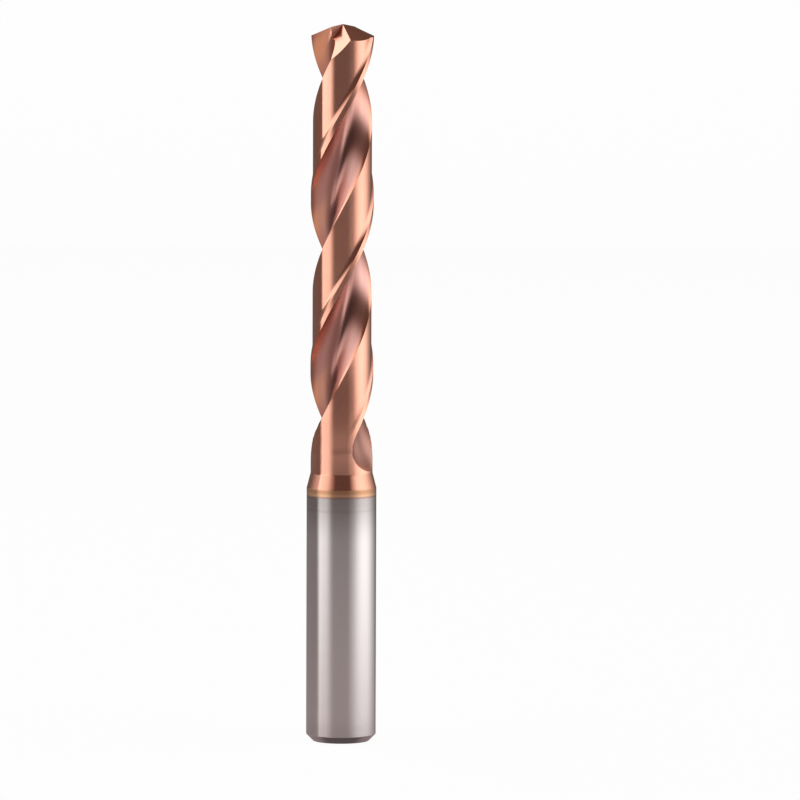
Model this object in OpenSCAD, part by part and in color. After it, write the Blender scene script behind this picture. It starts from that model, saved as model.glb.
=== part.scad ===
// Solid carbide twist drill with a stepped-up plain shank.
// It stands on the end of its shank: +Z runs up the axis to the tip and the
// origin is the centre of the shank's end face. Lengths are in millimetres.
// The right-hand flutes, body clearance, flanks and gashes are ground into one rod.

/* [Size] */
// Length over all, from the shank end to the tip
drill_l = 103; // [98:1:130]
// Cutting diameter, measured over the margins
cut_d = 9; // [8:0.1:9.6]
// Shank diameter
shank_d = 10; // [10:0.5:14]
// Length from the tip down to the start of the neck
flute_l = 61; // [45:1:61]

/* [Shank and neck] */
// Bevel round the end of the shank
shank_bevel = 1; // [0.3:0.1:1.5]
// How much smaller the neck is than the cutting diameter
neck_less = 0.12; // [0.08:0.02:0.2]
// Length of the plain neck under the fluted part
neck_l = 3.3; // [3.2:0.1:6]
// Slope of the cone from the neck to the shank, from the axis
cone_angle = 14.5; // [12:0.5:30]

/* [Flutes] */
// Helix angle at the cutting diameter
helix_angle = 30; // [25:1:36]
// Width of each flute opening, in degrees of turn
flute_w = 95; // [88:1:98]
// Thickness of the core between the floors of the two flutes
web = 3.2; // [2.8:0.1:3.6]
// Turn from the leading edge to where the heel side of a flute starts to rise
heel_start = 20; // [14:1:28]
// How hollow the heel side of a flute is
heel_curve = 3.2; // [2.6:0.1:3.8]
// Width of the rounding along the bottom of a flute
floor_blend = 1.05; // [0.8:0.05:1.3]
// Width of the margin behind each leading edge
margin_w = 0.68; // [0.5:0.02:0.9]
// Width of the hollow that leads from the body clearance up to the margin
hollow_w = 0.7; // [0.4:0.05:0.9]
// Depth of the body clearance behind the margin
clearance = 0.28; // [0.15:0.01:0.35]
// How far below the neck's start a flute runs out
runout_below = 3; // [2.5:0.1:3.1]
// Height over which a flute rises out of the rod
runout_l = 11; // [8:0.5:14]
// Turn of the leading edge towards the heel along the run-out
runout_turn = 36; // [24:1:40]

/* [Point] */
// Point angle
point_angle = 135; // [125:1:145]
// Distance of each cutting lip ahead of the centre line
lip_ahead = 1.1; // [0.9:0.05:1.3]
// First relief, behind each cutting lip
relief = 8; // [6:0.5:10]
// Second relief, behind the first
back_relief = 16; // [13:0.5:20]
// Core left between the two thinned lips
thin_web = 0.14; // [0.1:0.02:0.3]
// Turn of a thinned lip from its main lip
thin_turn = 42; // [34:1:46]
// Slope of the gash from level
gash_slope = 52; // [45:1:56]
// Angle between the two walls of a gash
gash_open = 101; // [94:1:106]

/* [Finish] */
// Colour of the coated carbide
drill_color = "#B87A60"; // color
// Height of one row of facets along the flutes
row_h = 1.2; // [1:0.1:1.6]

/* [Hidden] */
$fn = 96;

cut_r = cut_d / 2;
shank_r = shank_d / 2;
neck_r = cut_r - neck_less / 2;
back_r = cut_r - clearance;

// Heights along the axis, from the shank end up
neck_z = drill_l - flute_l;
cone_z = neck_z - neck_l;
shank_l = cone_z - (shank_r - neck_r) / tan(cone_angle);
runout_z = neck_z - runout_below;
step_h = 0.45;
overlap = 0.6;
spare = 1;

// The rounding lifts the bottom of a flute by this share of its width
blend_lift = 0.64;
floor_r = web / 2 - blend_lift * floor_blend;

// Helix: one turn of a flute takes this height
lead = PI * cut_d / tan(helix_angle);
point_slope = tan(90 - point_angle / 2);
lip_turn = -asin(lip_ahead / cut_r);
relief_slope = tan(relief) / sin(point_angle / 2);
corner_z = drill_l + relief_slope * lip_ahead - point_slope * cut_r * cos(lip_turn);

// Widths across the helix, in degrees of turn
function across(w) = w / cos(helix_angle) / cut_r * 180 / PI;
margin_turn = across(margin_w);
hollow_turn = across(hollow_w);

// Facets round one half of the section
rake_steps = 7;
floor_steps = 11;
back_steps = 7;
hollow_steps = 3;
heel_crowding = 0.75;

// Turn between the leading edge and the rake face at radius r
function rake_run(r) =
    asin(min(1, lip_ahead / r))
    + sqrt(max(0, r * r - lip_ahead * lip_ahead)) * point_slope * 360 / lead;
function rake_turn(r) = rake_run(r) - rake_run(cut_r);

// Radius of the rake face at turn b, found by halving
function rake_r(b, low = lip_ahead, high = cut_r, left = 22) =
    let (mid = (low + high) / 2)
    left == 0 ? mid
    : rake_turn(mid) > b ? rake_r(b, mid, high, left - 1)
    : rake_r(b, low, mid, left - 1);

// Radius of the heel side of a flute at turn b
function heel_r(b) =
    floor_r
    + (back_r - floor_r) * pow(max(0, (b - heel_start) / (flute_w - heel_start)), heel_curve);

// The greater of two radii, rounded where they cross
function blend(p, q) = (p + q + sqrt((p - q) * (p - q) + floor_blend * floor_blend)) / 2;

// Outer radius of the rod at turn b once its body clearance is ground
function rod_r(b) =
    b < flute_w / 2 ? cut_r
    : back_r + clearance * pow(max(0, min(1, (b - back_end) / hollow_turn)), 2);

// Limit of the turn along the run-out, as a share of runout_turn
most_shift = 1.2;

// Part of the run-out passed at height z: 0 above it, 1 where the flute is gone
function runout(z, length) = max(0, (runout_z + length - z) / length);
function lift(z) = (neck_r - web / 2) * pow(runout(z, runout_l), 2);
function shift(z) = runout_turn * min(most_shift, pow(runout(z, runout_l / 2), 2));

// How far the land has widened one row below the neck's start
step_share = 0.75;

// Land radius at height z: wider than the neck below, so that the neck trims it
function land_r(b, z) =
    z > neck_z - step_h / 2 ? rod_r(b)
    : z > neck_z - step_h * 1.5 ? neck_r + (neck_r - back_r) * step_share
    : neck_r + spare;

// Turns of the section's points from one leading edge to the next
rake_low_r = 1.5 * lip_ahead;
rake_b = [for (i = [0 : rake_steps]) rake_turn(cut_r + (rake_low_r - cut_r) * i / rake_steps)];
floor_b = [for (i = [1 : floor_steps])
    let (part = pow(i / floor_steps, heel_crowding))
    rake_b[rake_steps] + (flute_w - rake_b[rake_steps]) * part];
back_end = 180 - margin_turn - hollow_turn;
back_b = [for (i = [1 : back_steps]) flute_w + (back_end - flute_w) * i / back_steps];
hollow_b = [for (i = [1 : hollow_steps]) back_end + hollow_turn * i / hollow_steps];
flute_b = concat(rake_b, floor_b);
half_b = concat(flute_b, back_b, hollow_b, [180 - margin_turn / 2]);
flute_n = len(flute_b);
half_n = len(half_b);

// The flute turns aside along the run-out, and the land's points close up behind it
function moved(b, z) =
    b + shift(z) * (b <= flute_w ? 1 : max(0, (back_end - b) / (back_end - flute_w)));
function flute_r(b, z) = blend(rake_r(b), heel_r(b)) + lift(z);
function section_r(i, z) =
    let (b = half_b[i], land = land_r(moved(b, z), z))
    i > 0 && i < flute_n - 1 ? min(land, flute_r(b, z)) : land;

// One row of points round the body at height z
function row(z) =
    let (turn = 360 * (z - corner_z) / lead)
    [for (k = [0, 180], i = [0 : half_n - 1])
        let (r = section_r(i, z), a = turn + k + moved(half_b[i], z))
        [r * cos(a), r * sin(a), z]];

low_z = cone_z - overlap;
ramp_z = neck_z - 2 * step_h;
high_z = drill_l + spare;
low_n = ceil((ramp_z - low_z) / row_h);
high_n = ceil((high_z - neck_z) / row_h);
rows_z = concat(
    [for (i = [0 : low_n - 1]) low_z + (ramp_z - low_z) * i / low_n],
    [ramp_z, neck_z - step_h],
    [for (i = [0 : high_n]) neck_z + (high_z - neck_z) * i / high_n]);

// The fluted length as one closed surface, trimmed later at the point and neck
module fluted_rod() {
    ring = 2 * half_n;
    last = len(rows_z) - 1;
    points = [for (z = rows_z) each row(z)];
    walls = [for (j = [0 : last - 1], i = [0 : ring - 1])
        let (a = j * ring + i, b = j * ring + (i + 1) % ring)
        each [[a, a + ring, b], [b, a + ring, b + ring]]];
    bottom = [for (i = [0 : ring - 1]) i];
    top = [for (i = [0 : ring - 1]) last * ring + ring - 1 - i];
    polyhedron(points, concat([bottom], walls, [top]));
}

// Rod that the flutes are ground into: the neck, and open space above it
module rod_limit() {
    translate([0, 0, low_z - overlap])
        cylinder(h = neck_z - low_z + overlap, r = neck_r);
    translate([0, 0, neck_z])
        cylinder(h = flute_l + 2 * spare, r = cut_r + spare);
}

// Space above one flank of the point, down to a plane through a line along the lip
module flank_cut(angle, behind, drop) {
    reach = 3 * cut_d;
    translate([0, lip_ahead - behind, drill_l + relief_slope * lip_ahead - drop])
        rotate([angle, 90 - point_angle / 2, 0])
            translate([-reach / 2, -reach / 2, 0])
                cube([reach, reach, cut_d]);
}

// Notch that thins the web in front of one lip
module gash() {
    reach = 1.5 * cut_d;
    far = reach / tan(gash_open);
    translate([0, 0, drill_l])
        rotate([0, 0, thin_turn])
            translate([0, thin_web / 2, 0])
                rotate([0, gash_slope, 0])
                    translate([-cut_r, 0, 0])
                        rotate([90, 0, 90])
                            linear_extrude(height = reach)
                                polygon([[0, 0], [reach, far], [reach, reach], [0, reach]]);
}

// Both flanks and both gashes, which give the lips and the chisel edge
module point_grind() {
    for (k = [0, 180])
        rotate([0, 0, lip_turn + k]) {
            flank_cut(relief, 0, 0);
            flank_cut(back_relief, lip_ahead, relief_slope * lip_ahead);
            gash();
        }
}

// Plain shank with its bevel, and the cone up to the neck
module shank() {
    rotate_extrude()
        polygon([
            [0, 0],
            [shank_r - shank_bevel, 0],
            [shank_r, shank_bevel],
            [shank_r, shank_l],
            [neck_r, cone_z],
            [0, cone_z]
        ]);
}

module drill_bit() {
    color(drill_color)
        union() {
            shank();
            difference() {
                intersection() {
                    fluted_rod();
                    rod_limit();
                }
                point_grind();
            }
        }
}

drill_bit();
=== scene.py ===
# %% [markdown]
# # A solid carbide twist drill
# The drill is one ground piece of cemented carbide. A plain round shank carries a short cone, a short
# neck and a fluted length that ends in a point with two cutting lips. Everything above the shank has
# a copper-coloured coating, and the shank is bare ground carbide. A tool grinder takes a round blank,
# grinds two helical flutes into it, and then the flanks and gashes of the point. This lesson makes
# the same cuts in an order that suits a mesh: the fluted wall, the turned blank, the flanks and
# gashes on that blank, and at last what blank and wall share. The imported solid is loaded first, and
# it is hidden once the finer piece stands in for it.

# %% Load the frame
import math

import bpy
import numpy as np
from mathutils import Matrix, Vector


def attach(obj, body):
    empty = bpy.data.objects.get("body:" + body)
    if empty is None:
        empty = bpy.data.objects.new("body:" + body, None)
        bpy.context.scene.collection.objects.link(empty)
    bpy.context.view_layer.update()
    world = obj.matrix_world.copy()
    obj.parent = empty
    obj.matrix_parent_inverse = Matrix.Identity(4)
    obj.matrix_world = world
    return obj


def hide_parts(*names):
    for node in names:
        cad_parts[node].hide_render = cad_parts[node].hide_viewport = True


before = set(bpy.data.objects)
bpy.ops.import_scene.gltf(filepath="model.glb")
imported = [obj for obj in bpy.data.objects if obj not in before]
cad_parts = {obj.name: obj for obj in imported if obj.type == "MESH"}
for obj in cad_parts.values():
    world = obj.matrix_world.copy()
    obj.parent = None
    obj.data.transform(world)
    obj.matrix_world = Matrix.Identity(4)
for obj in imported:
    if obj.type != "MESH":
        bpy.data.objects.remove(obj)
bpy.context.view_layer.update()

# %% [markdown]
# ## The drill's sizes
# The sizes repeat those of the solid model, in metres, so that both show the same drill. A twist
# drill is described by its cutting diameter, its helix angle, the thickness of its core, and the
# width and height of the land between two flutes. Places round the section, such as `HEEL_START` and
# `FLUTE_W`, are turns in degrees.

# %% Sizes
MM = 0.001
LENGTH, FLUTE_L, NECK_L = 103 * MM, 61 * MM, 3.3 * MM
CUT_R = 4.5 * MM
SHANK_R = 5 * MM
NECK_LESS = 0.12 * MM
NECK_R = CUT_R - NECK_LESS / 2
CLEARANCE = 0.28 * MM
BACK_R = CUT_R - CLEARANCE
MARGIN_W, HOLLOW_W = 0.68 * MM, 0.7 * MM
LIP_AHEAD = 1.1 * MM
CORE_R = 1.6 * MM
FLOOR_BLEND = 1.05 * MM
# The rounding lifts the bottom of a flute by this share of its width
BLEND_LIFT = 0.64
FLOOR_R = CORE_R - BLEND_LIFT * FLOOR_BLEND
HEEL_START, HEEL_CURVE = 20, 3.2
NECK_Z = LENGTH - FLUTE_L
CONE_Z = NECK_Z - NECK_L
CONE_ANGLE = math.radians(14.5)
SHANK_Z = CONE_Z - (SHANK_R - NECK_R) / math.tan(CONE_ANGLE)
BEVEL = 1 * MM
RUNOUT_BELOW, RUNOUT_L, RUNOUT_TURN = 3 * MM, 11 * MM, 36
RUNOUT_Z = NECK_Z - RUNOUT_BELOW
HELIX = math.radians(30)
LEAD = math.pi * 2 * CUT_R / math.tan(HELIX)
POINT = math.radians(135)
LIP_SLOPE = 1 / math.tan(POINT / 2)
LIP_TURN = -math.asin(LIP_AHEAD / CUT_R)
RELIEF, BACK_RELIEF = math.radians(8), math.radians(16)
RELIEF_SLOPE = math.tan(RELIEF) / math.sin(POINT / 2)
CORNER_Z = LENGTH + RELIEF_SLOPE * LIP_AHEAD - LIP_SLOPE * CUT_R * math.cos(LIP_TURN)
FLUTE_W = 95.0
print("one turn of a flute takes", round(LEAD / MM, 2), "mm")

# %% Small helpers for working by hand
def clear_selection():
    if bpy.context.object and bpy.context.object.mode != "OBJECT":
        bpy.ops.object.mode_set(mode="OBJECT")
    bpy.ops.object.select_all(action="DESELECT")


def pick(piece):
    clear_selection()
    piece.select_set(True)
    bpy.context.view_layer.objects.active = piece


def edit(piece):
    pick(piece)
    bpy.ops.object.mode_set(mode="EDIT")


def done():
    bpy.ops.object.mode_set(mode="OBJECT")


def named(name):
    piece = bpy.context.object
    piece.name = name
    piece.data.name = name
    return piece


def apply_modifier(piece, kind, **values):
    pick(piece)
    modifier = piece.modifiers.new(kind.lower(), kind)
    for key, value in values.items():
        setattr(modifier, key, value)
    bpy.ops.object.modifier_apply(modifier=modifier.name)


def settle(piece):
    """Puts the object's origin at the frame's origin, with its place in its mesh."""
    pick(piece)
    bpy.ops.object.transform_apply(location=True, rotation=True, scale=True)


def remove(piece):
    pick(piece)
    bpy.ops.object.delete()


def size_of(piece):
    return len(piece.data.vertices), len(piece.data.polygons)


# %% [markdown]
# ## The section of the flutes
# Cut across, a two-flute drill looks like a fat letter S. From each leading edge the rake face runs
# in towards the core. It is the curve that makes the cutting lip straight once the point is ground.
# The floor then rises to the heel, and the land closes the circle: low body clearance first, a small
# hollow, and last the narrow margin at full diameter. Two functions give the radius of flute and land
# at each turn `b`, in degrees ahead of a leading edge, so the same rule shapes every level.

# %% Radius of the flute and of the land
BACK_END = 180 - math.degrees((MARGIN_W + HOLLOW_W) / math.cos(HELIX) / CUT_R)
HOLLOW = math.degrees(HOLLOW_W / math.cos(HELIX) / CUT_R)


def rake_turn(r):
    run = np.degrees(np.arcsin(np.minimum(1, LIP_AHEAD / r)))
    lip = np.sqrt(np.maximum(0, r * r - LIP_AHEAD * LIP_AHEAD)) * LIP_SLOPE * 360 / LEAD
    return run + lip


# The rake face is looked up in a fine table of turns against radii
TABLE_ROWS = 4000
RAKE_TABLE_R = np.linspace(CUT_R, LIP_AHEAD, TABLE_ROWS)
RAKE_TABLE_B = rake_turn(RAKE_TABLE_R) - rake_turn(np.array([CUT_R]))


def flute_radius(b):
    rake = np.interp(b, RAKE_TABLE_B, RAKE_TABLE_R)
    rise = np.maximum(0, (b - HEEL_START) / (FLUTE_W - HEEL_START)) ** HEEL_CURVE
    heel = FLOOR_R + (BACK_R - FLOOR_R) * rise
    return (rake + heel + np.sqrt((rake - heel) ** 2 + FLOOR_BLEND ** 2)) / 2


def land_radius(b, margin_r, back_r):
    hollow = np.clip((b - BACK_END) / HOLLOW, 0, 1) ** 2
    return np.where(b < FLUTE_W / 2, margin_r, back_r + (margin_r - back_r) * hollow)


# %% Turns of the section's points
def steps(start, end, count, crowding=1.0):
    """Turns from just after start up to end. A crowding below 1 puts more of them near the end."""
    return start + (end - start) * (np.arange(1, count + 1) / count) ** crowding


RAKE_LOW_R = 1.5 * LIP_AHEAD
RAKE_N, FLOOR_N, BACK_N, HOLLOW_N, MARGIN_N = 18, 30, 20, 8, 5
rake_b = np.interp(np.linspace(CUT_R, RAKE_LOW_R, RAKE_N), RAKE_TABLE_R[::-1], RAKE_TABLE_B[::-1])
floor_b = steps(rake_b[-1], FLUTE_W, FLOOR_N, crowding=0.8)
back_b = steps(FLUTE_W, BACK_END, BACK_N)
hollow_b = steps(BACK_END, BACK_END + HOLLOW, HOLLOW_N)
margin_b = steps(BACK_END + HOLLOW, 180, MARGIN_N)[:-1]
HALF_B = np.concatenate([rake_b, floor_b, back_b, hollow_b, margin_b])
# The first point is the leading edge and the flute's last is the heel, and both belong to the land
IN_FLUTE = np.arange(len(HALF_B)) < len(rake_b) + len(floor_b) - 1
IN_FLUTE[0] = False
RING = 2 * len(HALF_B)
print("points round the section:", RING)

# %% [markdown]
# ## Sweep the section up the helix
# A circle is added with one point for each point of the section, and its points are turned to the
# section's places. Their radius comes in the next step. A Screw modifier then turns and lifts the
# ring in small steps. With a positive angle and a positive offset it makes the right-hand helix that
# this drill has.

# %% Ring and screw
LOW_Z, STEP, STEPS = 37.8 * MM, 0.3 * MM, 220
clear_selection()
bpy.ops.mesh.primitive_circle_add(vertices=RING, radius=CUT_R, location=(0, 0, LOW_Z))
fluted = named("fluted")
settle(fluted)
turn_low = 360 * (LOW_Z - CORNER_Z) / LEAD
both_b = np.concatenate([HALF_B, HALF_B])
both_k = np.repeat([0.0, 180.0], len(HALF_B))
for i, vertex in enumerate(fluted.data.vertices):
    angle = math.radians(turn_low + both_k[i] + both_b[i])
    vertex.co = (CUT_R * math.cos(angle), CUT_R * math.sin(angle), LOW_Z)
apply_modifier(fluted, "SCREW", axis="Z", angle=2 * math.pi * STEP * STEPS / LEAD,
               screw_offset=STEP * STEPS, steps=STEPS, render_steps=STEPS,
               use_merge_vertices=False, use_smooth_shade=True)
print("swept ring:", size_of(fluted))

# %% [markdown]
# ## Sink the flutes and let them run out
# Each level of the swept wall is drawn in to the section's radius. A grinding wheel leaves the rod in
# a long curve, so near the neck the floor of a flute rises and the whole section turns a little
# aside, margin and hollow with it. Over the same stretch the body clearance and the margin fade out,
# and a very slight fillet leads the land over to the neck. Below the neck's start the land goes on
# growing past the neck's radius, because the round blank trims it there. The lowest ring is moved
# out past the shank, so that the closed wall takes nothing off the shank.

# %% Run-out
MOST_SHIFT = 1.2
FADE_START, FADE_END = NECK_Z + 13 * MM, NECK_Z + 2 * MM
END_MARGIN_R, END_BACK_R = NECK_R - 0.008 * MM, NECK_R - 0.012 * MM
FILLET_Z, FILLET_RISE = NECK_Z + 0.75 * MM, 0.012 / MM
CLEAR_OF_BLANK = 7 * MM


def runout(z, length):
    return np.maximum(0, (RUNOUT_Z + length - z) / length)


def faded(start, end, z):
    """From start high up to end near the neck, along a soft S."""
    t = min(1, max(0, (FADE_START - z) / (FADE_START - FADE_END)))
    return start + (end - start) * t * t * (3 - 2 * t)


def shape_level(z):
    shift = RUNOUT_TURN * np.minimum(MOST_SHIFT, runout(z, RUNOUT_L / 2) ** 2)
    lift = (NECK_R - CORE_R) * runout(z, RUNOUT_L) ** 2
    land = land_radius(HALF_B, faded(CUT_R, END_MARGIN_R, z), faded(BACK_R, END_BACK_R, z))
    land = land + FILLET_RISE * max(0, FILLET_Z - z) ** 2
    radius = np.where(IN_FLUTE, np.minimum(land, flute_radius(HALF_B) + lift), land)
    turned = 360 * (z - CORNER_Z) / LEAD + shift + HALF_B
    angle = np.radians(np.concatenate([turned, turned + 180]))
    radius = np.concatenate([radius, radius])
    return np.stack([radius * np.cos(angle), radius * np.sin(angle), np.full(RING, z)], 1)


# The Screw modifier makes its rings in order, so each row of this table lies at one height
levels = np.array([v.co.z for v in fluted.data.vertices]).reshape(STEPS + 1, RING)
assert np.ptp(levels, 1).max() < 1e-6
shaped = [shape_level(float(level[0])) for level in levels]
lowest = shaped[0][:, :2]
shaped[0][:, :2] = CLEAR_OF_BLANK * lowest / np.hypot(lowest[:, 0], lowest[:, 1])[:, None]
fluted.data.vertices.foreach_set("co", np.concatenate(shaped).astype(np.float32).ravel())
fluted.data.update()
print("levels up the flutes:", len(shaped))

# %% Extend the wall below the shank and close both ends
SPARE = 1 * MM


def select_where(piece, test):
    for part in (piece.data.vertices, piece.data.edges, piece.data.polygons):
        part.foreach_set("select", np.zeros(len(part), bool))
    for vertex in piece.data.vertices:
        vertex.select = bool(test(vertex.co))
    edit(piece)
    bpy.ops.mesh.select_mode(type="VERT")


select_where(fluted, lambda co: co.z < LOW_Z + 0.1 * STEP)
bpy.ops.mesh.select_mode(type="EDGE")
bpy.ops.mesh.extrude_region_move(TRANSFORM_OT_translate={"value": (0, 0, -LOW_Z - SPARE)})
bpy.ops.mesh.edge_face_add()
done()
select_where(fluted, lambda co: co.z > LOW_Z + STEP * (STEPS - 0.1))
bpy.ops.mesh.edge_face_add()
bpy.ops.mesh.select_all(action="SELECT")
bpy.ops.mesh.normals_make_consistent(inside=False)
done()
print("closed wall:", size_of(fluted))

# %% [markdown]
# ## Turn the round blank
# The blank is a profile of one vertex after another, spun about the axis as on a lathe: bevelled
# shank end, shank, cone, neck, and a wide top that leaves the flutes alone. Its edges carry a very
# small rounding, because a ground edge is never perfectly sharp and catches a thin line of light. Two
# more points near the top of the neck keep the neck's shading smooth up to the flutes.

# %% Blank by extrude and spin
def eased(corners, ease):
    """The profile with each inner corner cut back and rounded in three short steps."""
    points = [Vector(corners[0])]
    for before, corner, after in zip(corners, corners[1:], corners[2:]):
        b, c, a = Vector(before), Vector(corner), Vector(after)
        start = c + (b - c).normalized() * ease
        end = c + (a - c).normalized() * ease
        for t in (0, 0.33, 0.67, 1):
            points.append(start * (1 - t) ** 2 + c * 2 * t * (1 - t) + end * t * t)
    points.append(Vector(corners[-1]))
    return points


EASE = 0.07 * MM
WIDE_R, TOP_Z = 6 * MM, 105 * MM
BLANK_SIDES = 256
NECK_LOW, NECK_HIGH = NECK_Z - 0.6 * MM, NECK_Z - 0.45 * MM
profile = eased([(0, 0), (SHANK_R - BEVEL, 0), (SHANK_R, BEVEL), (SHANK_R, SHANK_Z),
                 (NECK_R, CONE_Z), (NECK_R, NECK_LOW)], EASE)
head = [(NECK_R, NECK_HIGH), (NECK_R, NECK_Z), (WIDE_R, NECK_Z), (WIDE_R, TOP_Z), (0, TOP_Z)]
profile += [Vector(corner) for corner in head]
clear_selection()
bpy.ops.mesh.primitive_plane_add(size=MM, location=(0, 0, 0))
blank = named("blank")
edit(blank)
bpy.ops.mesh.select_all(action="SELECT")
bpy.ops.mesh.merge(type="CENTER")
for here, after in zip(profile, profile[1:]):
    move = (after.x - here.x, 0, after.y - here.y)
    bpy.ops.mesh.extrude_region_move(TRANSFORM_OT_translate={"value": move})
bpy.ops.mesh.select_all(action="SELECT")
bpy.ops.mesh.spin(steps=BLANK_SIDES, angle=2 * math.pi, center=(0, 0, 0), axis=(0, 0, 1))
bpy.ops.mesh.select_all(action="SELECT")
bpy.ops.mesh.remove_doubles(threshold=1e-7)
bpy.ops.mesh.normals_make_consistent(inside=False)
done()
settle(blank)
print("blank:", size_of(blank))

# %% [markdown]
# ## Grind the flanks
# The point has four flat flanks. On each side a first relief falls away right behind the cutting lip
# and a steeper second relief starts at the middle. A bisect along a plane is just what a flat
# grinding wheel does: it takes off all that stands above, and the cut is filled. It is done on the
# round blank, whose cuts are simple convex shapes, before the flutes are joined to it.

# %% Flanks by bisect
def flank_plane(relief, behind, drop, half_turn):
    """A point on the flank's plane and its normal, turned into place about the axis."""
    turn = LIP_TURN + half_turn
    normal = Vector((LIP_SLOPE, -math.tan(relief) / math.sin(POINT / 2), 1)).normalized()
    point = Vector((0, LIP_AHEAD - behind, LENGTH + RELIEF_SLOPE * LIP_AHEAD - drop))
    c, s = math.cos(turn), math.sin(turn)
    spun = [Vector((v.x * c - v.y * s, v.x * s + v.y * c, v.z)) for v in (point, normal)]
    return spun[0], spun[1]


for half_turn in (0, math.pi):
    for relief, behind, drop in ((RELIEF, 0, 0), (BACK_RELIEF, LIP_AHEAD, RELIEF_SLOPE * LIP_AHEAD)):
        point, normal = flank_plane(relief, behind, drop, half_turn)
        edit(blank)
        bpy.ops.mesh.select_all(action="SELECT")
        bpy.ops.mesh.bisect(plane_co=point, plane_no=normal, threshold=1e-7,
                            use_fill=True, clear_outer=True)
        done()
print("after the flanks:", size_of(blank))

# %% [markdown]
# ## Thin the core with two gashes
# A thick core can't cut at its middle, so a notch in front of each lip leaves a short thinned lip
# that runs to the centre. The notch has one upright wall, which is the thinned lip's rake face, and
# one wall that slopes up over the heel. A cube is sheared into that open wedge, turned down along
# the notch's floor, and taken away with a Boolean modifier. Its half-turn copy cuts the other side.

# %% Gash wedge
GASH_OPEN, GASH_SLOPE, THIN_TURN = math.radians(101), math.radians(52), math.radians(42)
THIN_WEB, REACH = 0.14 * MM, 13.5 * MM


def gash_wedge(half_turn):
    clear_selection()
    bpy.ops.mesh.primitive_cube_add(size=1, location=(0, 0, 0))
    wedge = named("wedge")
    for vertex in wedge.data.vertices:
        along = -CUT_R + REACH * (vertex.co.x + 0.5)
        out = REACH * (vertex.co.y + 0.5)
        floor = out / math.tan(GASH_OPEN)
        up = floor if vertex.co.z < 0 else REACH
        vertex.co = (along, out, up)
    edit(wedge)
    bpy.ops.mesh.select_all(action="SELECT")
    bpy.ops.mesh.normals_make_consistent(inside=False)
    done()
    wedge.rotation_euler = (0, GASH_SLOPE, 0)
    settle(wedge)
    wedge.location = (0, THIN_WEB / 2, LENGTH)
    settle(wedge)
    wedge.rotation_euler = (0, 0, LIP_TURN + half_turn + THIN_TURN)
    settle(wedge)
    return wedge


for half_turn in (0, math.pi):
    wedge = gash_wedge(half_turn)
    apply_modifier(blank, "BOOLEAN", operation="DIFFERENCE", solver="EXACT", object=wedge)
    remove(wedge)
print("after the gashes:", size_of(blank))

# %% [markdown]
# ## Join the blank and the flutes
# The fluted wall and the ground blank are both closed, so the drill is simply what lies inside both.
# One exact Boolean finds it. Faces that meet at more than the sharp angle then keep a crisp edge, as
# the lips, margins and flanks do, and all gentler ones are shaded smooth.

# %% Keep what the blank and the flutes share
apply_modifier(blank, "BOOLEAN", operation="INTERSECT", solver="EXACT", object=fluted)
remove(fluted)
drill = blank
drill.name = drill.data.name = "drill"
pick(drill)
SHARP_ABOVE = math.radians(24)
bpy.ops.object.shade_smooth_by_angle(angle=SHARP_ABOVE)
print("drill:", size_of(drill), "box in mm:",
      [round(v, 2) for v in (Vector(drill.dimensions) / MM)])

# %% [markdown]
# ## Ground carbide and its coating
# Both finishes are bare metal to the eye: one full-metal shader whose colour and roughness change
# with height. Below a line near the top of the shank it is grey carbide. Above the line lies the
# copper-coloured coating, a few thousandths of a millimetre thick. Grinding leaves fine lines, and
# light spreads across such lines far more than along them, so the shader is anisotropic. Its tangent
# runs round the rod on the shank and the lands, and along the helix in the flutes. A quarter turn
# then points the spread across it. That is why the bands of the studio stay crisp on the shank and
# run out into long streaks in the flutes.

# %% Node helpers
def node(tree, kind, **values):
    """A new node. A value named in_Scale goes to the socket Scale, any other to a property."""
    made = tree.nodes.new(kind)
    for key, value in values.items():
        if key.startswith("in_"):
            made.inputs[key[3:]].default_value = value
        else:
            setattr(made, key, value)
    return made


def ramp(tree, stops):
    """A colour ramp from (position, colour) pairs."""
    made = tree.nodes.new("ShaderNodeValToRGB")
    elements = made.color_ramp.elements
    while len(elements) > 1:
        elements.remove(elements[0])
    elements[0].position = stops[0][0]
    elements[0].color = stops[0][1]
    for position, colour in stops[1:]:
        elements.new(position).color = colour
    return made


def maths(tree, operation, *values):
    """A sum, product or the like of numbers and sockets."""
    made = tree.nodes.new("ShaderNodeMath")
    made.operation = operation
    for i, value in enumerate(values):
        if isinstance(value, (int, float)):
            made.inputs[i].default_value = value
        else:
            tree.links.new(value, made.inputs[i])
    return made.outputs[0]


def step_up(tree, value, low, high):
    """0 below low, 1 above high, and a soft S between them."""
    made = node(tree, "ShaderNodeMapRange", interpolation_type="SMOOTHSTEP")
    made.inputs["From Min"].default_value = low
    made.inputs["From Max"].default_value = high
    tree.links.new(value, made.inputs["Value"])
    return made.outputs["Result"]


def mixed(tree, factor, first, second, colour=False):
    """Mixes two numbers or two colours, given as sockets or as values."""
    made = node(tree, "ShaderNodeMix", data_type="RGBA" if colour else "FLOAT")
    slots = (made.inputs[6], made.inputs[7]) if colour else (made.inputs[2], made.inputs[3])
    for slot, value in zip((made.inputs[0],) + slots, (factor, first, second)):
        if isinstance(value, bpy.types.NodeSocket):
            tree.links.new(value, slot)
        else:
            slot.default_value = value
    return made.outputs[2] if colour else made.outputs[0]


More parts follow.
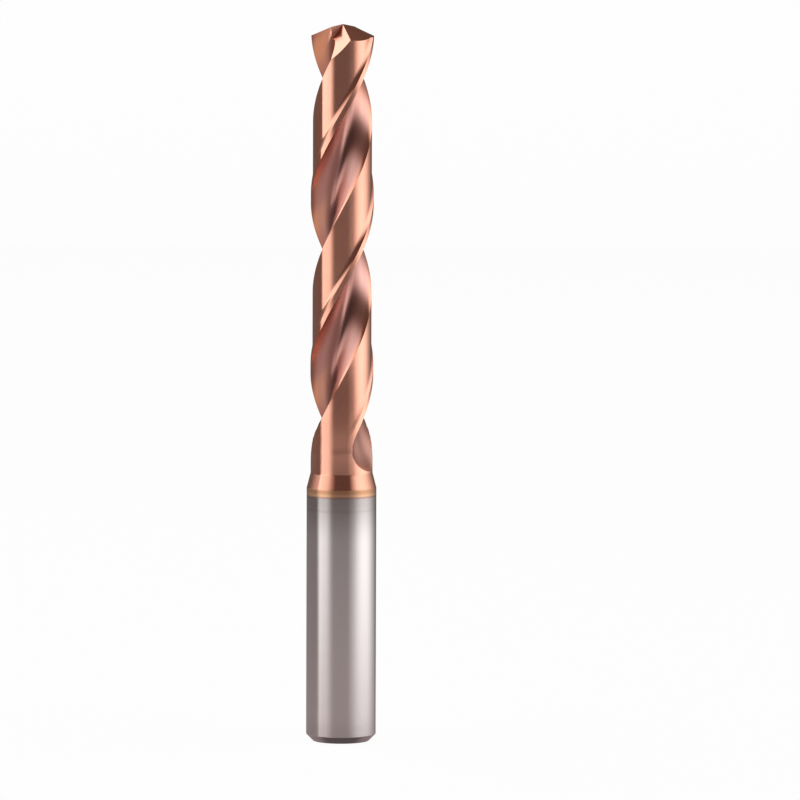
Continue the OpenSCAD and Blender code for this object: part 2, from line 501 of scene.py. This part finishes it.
# %% Metal, and the height and depth that its finishes follow
finish = bpy.data.materials.new("ground carbide, coated")
finish.use_nodes = True
tree = finish.node_tree
link = tree.links.new
shader = tree.nodes["Principled BSDF"]
shader.inputs["Metallic"].default_value = 1.0
shader.inputs["Anisotropic"].default_value = 0.85
shader.inputs["Anisotropic Rotation"].default_value = 0.25
coords = node(tree, "ShaderNodeTexCoord").outputs["Object"]
split = node(tree, "ShaderNodeSeparateXYZ")
link(coords, split.inputs[0])
height = split.outputs["Z"]
flat = node(tree, "ShaderNodeVectorMath", operation="MULTIPLY")
flat.inputs[1].default_value = (1, 1, 0)
link(coords, flat.inputs[0])
from_axis = node(tree, "ShaderNodeVectorMath", operation="LENGTH")
link(flat.outputs[0], from_axis.inputs[0])
depth = from_axis.outputs["Value"]

# %% [markdown]
# The pattern of each finish comes from noise on the object's own coordinates. Turning lines are
# noise that is stretched round the rod and packed closely along it. The lines of the coated part
# follow the helix, because the coordinates are untwisted by the flute's lead before the noise reads
# them. The zone of the flutes is told from the lands by its depth, and it fades out near the point.

# %% Patterns
RING_LINES, FLUTE_LINES, CLOUDS = (40, 40, 9000), (4500, 4500, 60), 160.0
in_flute = maths(tree, "MULTIPLY", step_up(tree, depth, 4.15 * MM, 3.2 * MM),
                 step_up(tree, height, 96 * MM, 88 * MM))
around = node(tree, "ShaderNodeVectorMath", operation="CROSS_PRODUCT")
around.inputs[0].default_value = (0, 0, 1)
link(coords, around.inputs[1])
climb = node(tree, "ShaderNodeCombineXYZ")
link(maths(tree, "MULTIPLY", in_flute, LEAD / (2 * math.pi)), climb.inputs["Z"])
along_lines = node(tree, "ShaderNodeVectorMath", operation="ADD")
link(around.outputs[0], along_lines.inputs[0])
link(climb.outputs[0], along_lines.inputs[1])
link(along_lines.outputs[0], shader.inputs["Tangent"])

ring_map = node(tree, "ShaderNodeMapping", in_Scale=RING_LINES)
link(coords, ring_map.inputs["Vector"])
rings = node(tree, "ShaderNodeTexNoise", in_Scale=1.0, in_Detail=2.0)
link(ring_map.outputs[0], rings.inputs["Vector"])

untwist = node(tree, "ShaderNodeVectorRotate", rotation_type="Z_AXIS")
link(coords, untwist.inputs["Vector"])
link(maths(tree, "MULTIPLY", height, -2 * math.pi / LEAD), untwist.inputs["Angle"])
line_map = node(tree, "ShaderNodeMapping", in_Scale=FLUTE_LINES)
link(untwist.outputs[0], line_map.inputs["Vector"])
lines = node(tree, "ShaderNodeTexNoise", in_Scale=1.0, in_Detail=2.0)
link(line_map.outputs[0], lines.inputs["Vector"])

clouds = node(tree, "ShaderNodeTexNoise", in_Scale=CLOUDS, in_Detail=3.0)
link(coords, clouds.inputs["Vector"])

# %% [markdown]
# The coating isn't one flat colour. Down in the flutes it turns a little towards violet. Deep in the
# flutes near the core it is darkened with painted shade, and low in the run-outs it is darker. At its
# lower edge, where it fades out, it ends in a narrow golden ring with a coarser grain and a brown rim.
# The carbide just under that ring is tarnished by the heat of the coating oven, and a faint turning
# mark runs round it. The bevel and the foot of the shank are darkened with painted shade.

# %% Zones by height and depth
EDGE_WAVE, MARK_Z = 0.12 * MM, 33.5 * MM
edge = maths(tree, "ADD", height, maths(tree, "MULTIPLY", clouds.outputs["Fac"], EDGE_WAVE))
coated = step_up(tree, edge, 35.3 * MM, 35.65 * MM)
brown_rim = step_up(tree, edge, 35.75 * MM, 35.5 * MM)
lower_ring = step_up(tree, edge, 36.2 * MM, 35.9 * MM)
above_ring = step_up(tree, edge, 36.55 * MM, 36.8 * MM)
in_ring = maths(tree, "SUBTRACT", coated, above_ring)
tarnish = step_up(tree, height, 28.5 * MM, 35.5 * MM)
off_mark = maths(tree, "ABSOLUTE", maths(tree, "SUBTRACT", height, MARK_Z))
mark = step_up(tree, off_mark, 0.28 * MM, 0.05 * MM)
# Painted shade deep in the flutes: the flute floor near the core is made darker
core_shade_mask = maths(tree, "MULTIPLY", step_up(tree, depth, 2.9 * MM, 1.7 * MM), in_flute)
violet_zone = maths(tree, "MULTIPLY", in_flute, step_up(tree, height, 43 * MM, 50 * MM))
# Darker in the flutes below 45 mm, where they run out towards the neck
runout_darker_mask = maths(tree, "MULTIPLY", step_up(tree, depth, 4.34 * MM, 4.1 * MM),
                    step_up(tree, height, 49 * MM, 45 * MM))
# Painted shade on the bevel and the foot of the shank, for the shadow under the drill that they would reflect
bevel_shade_mask = step_up(tree, height, 1.04 * MM, 0.90 * MM)
foot_shade_mask = step_up(tree, height, 4.5 * MM, 1.0 * MM)

# %% Colours of the carbide and the coating
CARBIDE, CARBIDE_PALE = (0.64, 0.60, 0.605, 1), (0.675, 0.63, 0.635, 1)
COPPER, COPPER_PALE = (0.84, 0.395, 0.28, 1), (0.88, 0.43, 0.31, 1)
# On the next line, the second colour is painted shade for the flute floors near the core, and the third one
# makes the flutes' run-outs darker
VIOLET, CORE_PAINTED_SHADE, RUNOUT_DARKER = (0.74, 0.41, 0.36, 1), (0.40, 0.195, 0.165, 1), (0.55, 0.30, 0.25, 1)
GOLD, GOLD_PALE, RIM_BROWN = (0.62, 0.335, 0.19, 1), (0.76, 0.46, 0.28, 1), (0.36, 0.20, 0.17, 1)
# On the next line, the last colour is painted shade for the bevel and the foot of the shank; the last two
# shares on the line after it say how much of it each gets
TARNISHED, MARK_GREY, FOOT_PAINTED_SHADE = (0.42, 0.385, 0.375, 1), (0.2, 0.18, 0.18, 1), (0.40, 0.365, 0.37, 1)
RUNOUT_SHARE, MARK_SHARE, BEVEL_SHADE_SHARE, FOOT_SHADE_SHARE = 0.8, 0.12, 0.7, 0.3

carbide = ramp(tree, [(0.3, CARBIDE), (0.7, CARBIDE_PALE)])
link(rings.outputs["Fac"], carbide.inputs[0])
# Painted shade on the bevel and the foot of the shank, darker towards the floor
bevel_and_foot_shade = maths(tree, "MULTIPLY_ADD", foot_shade_mask, FOOT_SHADE_SHARE, maths(tree, "MULTIPLY", bevel_shade_mask, BEVEL_SHADE_SHARE))
faint_mark = maths(tree, "MULTIPLY", mark, MARK_SHARE)
shank_colour = mixed(tree, tarnish, carbide.outputs[0], TARNISHED, colour=True)
shank_colour = mixed(tree, faint_mark, shank_colour, MARK_GREY, colour=True)
shank_colour = mixed(tree, bevel_and_foot_shade, shank_colour, FOOT_PAINTED_SHADE, colour=True)

copper = ramp(tree, [(0.35, COPPER), (0.65, COPPER_PALE)])
link(clouds.outputs["Fac"], copper.inputs[0])
darker_runout = maths(tree, "MULTIPLY", runout_darker_mask, RUNOUT_SHARE)
coat_colour = mixed(tree, violet_zone, copper.outputs[0], VIOLET, colour=True)
# Painted shade on the flute floors near the core
coat_colour = mixed(tree, core_shade_mask, coat_colour, CORE_PAINTED_SHADE, colour=True)
# The flutes' run-outs are made darker
coat_colour = mixed(tree, darker_runout, coat_colour, RUNOUT_DARKER, colour=True)
ring_colour = mixed(tree, lower_ring, GOLD, GOLD_PALE, colour=True)
ring_colour = mixed(tree, brown_rim, ring_colour, RIM_BROWN, colour=True)
coat_colour = mixed(tree, above_ring, ring_colour, coat_colour, colour=True)
link(mixed(tree, coated, shank_colour, coat_colour, colour=True), shader.inputs["Base Color"])

# %% Roughness and fine relief
SHANK_ROUGH, COAT_ROUGH, RING_ROUGH = 0.20, 0.13, 0.33
FLUTE_MORE, RINGS_MORE, LINES_MORE = 0.08, 0.04, 0.06
rough_shank = maths(tree, "MULTIPLY_ADD", rings.outputs["Fac"], RINGS_MORE, SHANK_ROUGH)
rough_flute = maths(tree, "MULTIPLY_ADD", in_flute, FLUTE_MORE, COAT_ROUGH)
rough_coat = maths(tree, "MULTIPLY_ADD", lines.outputs["Fac"], LINES_MORE, rough_flute)
rough_all = mixed(tree, coated, rough_shank, rough_coat)
link(mixed(tree, in_ring, rough_all, RING_ROUGH), shader.inputs["Roughness"])
bump = node(tree, "ShaderNodeBump", in_Strength=0.10, in_Distance=0.00001)
link(mixed(tree, coated, rings.outputs["Fac"], lines.outputs["Fac"]), bump.inputs["Height"])
link(bump.outputs[0], shader.inputs["Normal"])

# %% Put the finish on the drill
drill.data.materials.clear()
drill.data.materials.append(finish)
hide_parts("drill_bit")
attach(drill, "root")
print("nodes in the finish:", len(tree.nodes), "on", len(drill.data.materials), "slot")

# %% [markdown]
# ## Camera
# The drill is seen from a little above and a little to its right, with a long lens from well away,
# so its two sides stay almost parallel. The camera aims a few millimetres beside the drill, which
# sets the drill left of the middle of the picture, and it is rolled by a fraction of a degree,
# because the drill leans that much in the picture. The picture is 800 pixels square. `MIDDLE_X` and
# `MIDDLE_Y` say where the drill's middle stands in it, and `PX_PER_M` says how large it shows.

# %% Camera
CAMERA_TURN = 4
AZIMUTH, ELEVATION, ROLL = math.radians(CAMERA_TURN), math.radians(5.5), math.radians(0.19)
DISTANCE, SENSOR = 1.3, 36
PICTURE, PX_PER_M = 800, 6983
MIDDLE_X, MIDDLE_Y = 341.75, 383.7
right = Vector((math.cos(AZIMUTH), math.sin(AZIMUTH), 0))
level_back = Vector((math.sin(AZIMUTH), -math.cos(AZIMUTH), 0))
back = level_back * math.cos(ELEVATION) + Vector((0, 0, math.sin(ELEVATION)))
up = back.cross(right)
aside = right * (PICTURE / 2 - MIDDLE_X) - up * (PICTURE / 2 - MIDDLE_Y)
aim = Vector((0, 0, LENGTH / 2)) + aside / PX_PER_M
lens = bpy.data.cameras.new("camera")
lens.sensor_width = SENSOR
lens.lens = SENSOR * DISTANCE * PX_PER_M / PICTURE
lens.clip_start, lens.clip_end = 0.01, 20
camera = bpy.data.objects.new("camera", lens)
bpy.context.scene.collection.objects.link(camera)
camera.location = aim + back * DISTANCE
camera.rotation_mode = "QUATERNION"
across = right * math.cos(ROLL) + up * math.sin(ROLL)
camera.rotation_quaternion = Matrix((across, back.cross(across), back)).transposed().to_quaternion()
bpy.context.scene.camera = camera
print("lens", round(lens.lens), "mm")

# %% [markdown]
# ## Studio
# Metal shows the room it stands in, so the room is what makes this drill look like metal. The
# bright bands down the drill are two tall soft boxes, one on each side, and the dark band between
# them is the unlit room behind the camera. All of it is one dome round the drill that glows more or
# less with the turn about the drill and with the level. The camera doesn't see the dome: it sees a
# white background and a pale floor. The dome goes on under the floor, where it is a dull, slightly
# warm card for the reflections only.

# %% Bands round the dome
def grey(v):
    return (v, v, v, 1)


def band_ramp(tree, turn, bands):
    """Brightness by the turn about the drill, from (degrees right of the camera, brightness) pairs."""
    stops = sorted((((right_of + CAMERA_TURN - 90) / 360 + 0.5) % 1.0, v) for right_of, v in bands)
    (first, v_first), (last, v_last) = stops[0], stops[-1]
    seam = v_last + (v_first - v_last) * (1 - last) / (first + 1 - last)
    made = ramp(tree, [(p, grey(v)) for p, v in [(0.0, seam)] + stops + [(1.0, seam)]])
    tree.links.new(turn, made.inputs[0])
    return made.outputs[0]


LEFT_SHADE, LEFT_SOFT, LEFT_MIDDLE, FAR_BEHIND = 45, 4, -50, -176
RIGHT_RISE, RIGHT_FULL, RIGHT_FALL, REAR_START = 28, 42, 27, 150


def room(tree, turn, rear, beside, left_edge, left_far, left_near, left_end,
         middle, right_edge, right, right_end=98):
    """One level of the room: a left soft box, the dark middle behind the camera, a right soft box."""
    shade = max(left_edge - LEFT_SHADE, FAR_BEHIND)
    return band_ramp(tree, turn, [
        (shade, rear), (left_edge - LEFT_SOFT, beside), (left_edge, left_far),
        (LEFT_MIDDLE, left_near), (left_end, middle), (right_edge, middle),
        (right_edge + RIGHT_RISE, 0.9 * right), (right_edge + RIGHT_FULL, right),
        (right_end, 0.85 * right), (right_end + RIGHT_FALL, 0.36 * right), (REAR_START, rear)])


# %% Dome
DOME_R, DOME_Z = 0.9, 0.05
clear_selection()
bpy.ops.mesh.primitive_uv_sphere_add(segments=96, ring_count=48, radius=DOME_R, location=(0, 0, DOME_Z))
dome = named("dome")
settle(dome)
glow = bpy.data.materials.new("dome glow")
glow.use_nodes = True
tree = glow.node_tree
tree.nodes.clear()
link = tree.links.new
out = node(tree, "ShaderNodeOutputMaterial")
emit = node(tree, "ShaderNodeEmission", in_Strength=1.0)
link(emit.outputs[0], out.inputs[0])
coords = node(tree, "ShaderNodeTexCoord").outputs["Object"]
radial = node(tree, "ShaderNodeTexGradient", gradient_type="RADIAL")
link(coords, radial.inputs[0])
turn = radial.outputs["Fac"]
split = node(tree, "ShaderNodeSeparateXYZ")
link(coords, split.inputs[0])
sine = maths(tree, "DIVIDE", maths(tree, "SUBTRACT", split.outputs["Z"], DOME_Z), DOME_R)
level = maths(tree, "MULTIPLY", maths(tree, "ARCSINE", sine), 180 / math.pi)
print("dome:", size_of(dome))

# %% [markdown]
# The upright sides of the drill reflect the dome a few degrees below the horizon: the shank lowest,
# then the neck, then the lands. The cone and the slanting walls of the flutes reflect it higher up.
# So the room is set level by level, and each level takes over from the one below it. The fine
# grinding lines spread every reflection up and down, and each level also shows faintly on its
# neighbours. The dim parts of the room are slightly warm, more so higher up, because metal in a dim
# room picks up the tone of the metal round it.

# %% Levels of the room
lower_shank = room(tree, turn, rear=0.27, beside=0.13, left_edge=-77, left_far=2.1, left_near=1.7,
                   left_end=-24, middle=0.62, right_edge=22, right=2.75)
upper_shank = room(tree, turn, rear=0.25, beside=0.13, left_edge=-77, left_far=0.95, left_near=0.72,
                   left_end=-24, middle=0.74, right_edge=22, right=2.05)
neck = room(tree, turn, rear=0.16, beside=0.12, left_edge=-77, left_far=0.5, left_near=0.35,
            left_end=-33, middle=0.08, right_edge=46, right=1.7)
lands = room(tree, turn, rear=0.16, beside=0.16, left_edge=-83, left_far=2.0, left_near=1.65,
             left_end=-31, middle=0.12, right_edge=43, right=1.65)
flutes = room(tree, turn, rear=0.14, beside=0.14, left_edge=-150, left_far=2.1, left_near=0.95,
              left_end=-22, middle=0.12, right_edge=30, right=1.7, right_end=88)
glowing = lower_shank
for low, high, bands in ((-8.0, -7.0, upper_shank), (-6.8, -6.2, neck), (-5.2, -2.8, lands), (6, 19, flutes)):
    glowing = mixed(tree, step_up(tree, level, low, high), glowing, bands, colour=True)

# %% Tint of the dim parts and the card under the floor
WHITE = grey(1.0)
SHANK_TINT, LAND_TINT, FLUTE_TINT = (1, 0.91, 0.91, 1), (1, 0.83, 0.79, 1), (1, 0.70, 0.60, 1)
CARD, CARD_WARM, CARD_PAINTED_SHADOW = (0.46, 0.375, 0.365, 1), (0.66, 0.55, 0.43, 1), (0.20, 0.17, 0.175, 1)
strength = node(tree, "ShaderNodeSeparateColor")
link(glowing, strength.inputs[0])
dim = step_up(tree, strength.outputs[0], 0.9, 0.2)
dim_tint = mixed(tree, step_up(tree, level, -9, -3.5), SHANK_TINT, LAND_TINT, colour=True)
dim_tint = mixed(tree, step_up(tree, level, 8, 25), dim_tint, FLUTE_TINT, colour=True)
warm = mixed(tree, dim, WHITE, dim_tint, colour=True)
tinted = node(tree, "ShaderNodeMix", data_type="RGBA", blend_type="MULTIPLY")
tinted.inputs[0].default_value = 1.0
link(glowing, tinted.inputs[6])
link(warm, tinted.inputs[7])
left_half = band_ramp(tree, turn, [(-110, 0), (-80, 1), (-45, 1), (-25, 0), (100, 0)])
warm_left = maths(tree, "MULTIPLY", left_half, step_up(tree, level, -18, -30))
card = mixed(tree, warm_left, CARD, CARD_WARM, colour=True)
# Painted shadow: the card turns dark straight below the drill, where its shadow on the floor would show in
# reflections
card = mixed(tree, step_up(tree, level, -62, -50), CARD_PAINTED_SHADOW, card, colour=True)
all_round = mixed(tree, step_up(tree, level, -16, -9), card, tinted.outputs[2], colour=True)
link(all_round, emit.inputs["Color"])
dome.data.materials.append(glow)
dome.visible_camera = False
print("nodes in the dome's glow:", len(tree.nodes))

# %% [markdown]
# ## Floor
# The floor is white paper. Most of the brightness that the camera sees is the paper's own colour, as
# if it were lit to a clean white. The rest is real light, which leaves room for a trace of shadow
# under the shank. Mirror rays don't see the paper at all, because the dome's card stands in for it
# there.

# %% Floor
OWN_SHARE = 0.96
clear_selection()
bpy.ops.mesh.primitive_plane_add(size=8, location=(0, 0, 0))
floor = named("floor")
settle(floor)
paper = bpy.data.materials.new("white paper")
paper.use_nodes = True
tree = paper.node_tree
link = tree.links.new
paper_shader = tree.nodes["Principled BSDF"]
paper_shader.inputs["Base Color"].default_value = grey(0.9)
paper_shader.inputs["Roughness"].default_value = 0.9
paper_shader.inputs["Specular IOR Level"].default_value = 0.1
own_white = node(tree, "ShaderNodeEmission", in_Strength=1.0)
own_white.inputs["Color"].default_value = WHITE


def seen_rays(tree):
    """1 for camera, glossy and transmission rays, 0 for all others."""
    path = node(tree, "ShaderNodeLightPath")
    mirror = maths(tree, "MAXIMUM", path.outputs["Is Glossy Ray"], path.outputs["Is Transmission Ray"])
    return maths(tree, "MAXIMUM", path.outputs["Is Camera Ray"], mirror)


lit = node(tree, "ShaderNodeMixShader")
link(maths(tree, "MULTIPLY", seen_rays(tree), OWN_SHARE), lit.inputs[0])
link(paper_shader.outputs[0], lit.inputs[1])
link(own_white.outputs[0], lit.inputs[2])
link(lit.outputs[0], tree.nodes["Material Output"].inputs["Surface"])
floor.data.materials.append(paper)
floor.visible_glossy = False
print("floor:", size_of(floor))

# %% [markdown]
# ## World
# The world is the backdrop. It is plain white where the camera sees it, and for other rays it is a
# soft light that reaches the floor outside the dome.

# %% World
world = bpy.data.worlds.new("white room")
bpy.context.scene.world = world
world.use_nodes = True
tree = world.node_tree
tree.nodes.clear()
link = tree.links.new
out = node(tree, "ShaderNodeOutputWorld")
seen = node(tree, "ShaderNodeBackground", in_Strength=1.0)
seen.inputs["Color"].default_value = WHITE
soft = node(tree, "ShaderNodeBackground", in_Strength=0.8)
soft.inputs["Color"].default_value = WHITE
both = node(tree, "ShaderNodeMixShader")
link(seen_rays(tree), both.inputs[0])
link(soft.outputs[0], both.inputs[1])
link(seen.outputs[0], both.inputs[2])
link(both.outputs[0], out.inputs[0])
bpy.context.scene.view_settings.view_transform = "Standard"

# %% [markdown]
# ## Last step
# The selection is cleared at the end.

# %% Clear the selection
clear_selection()
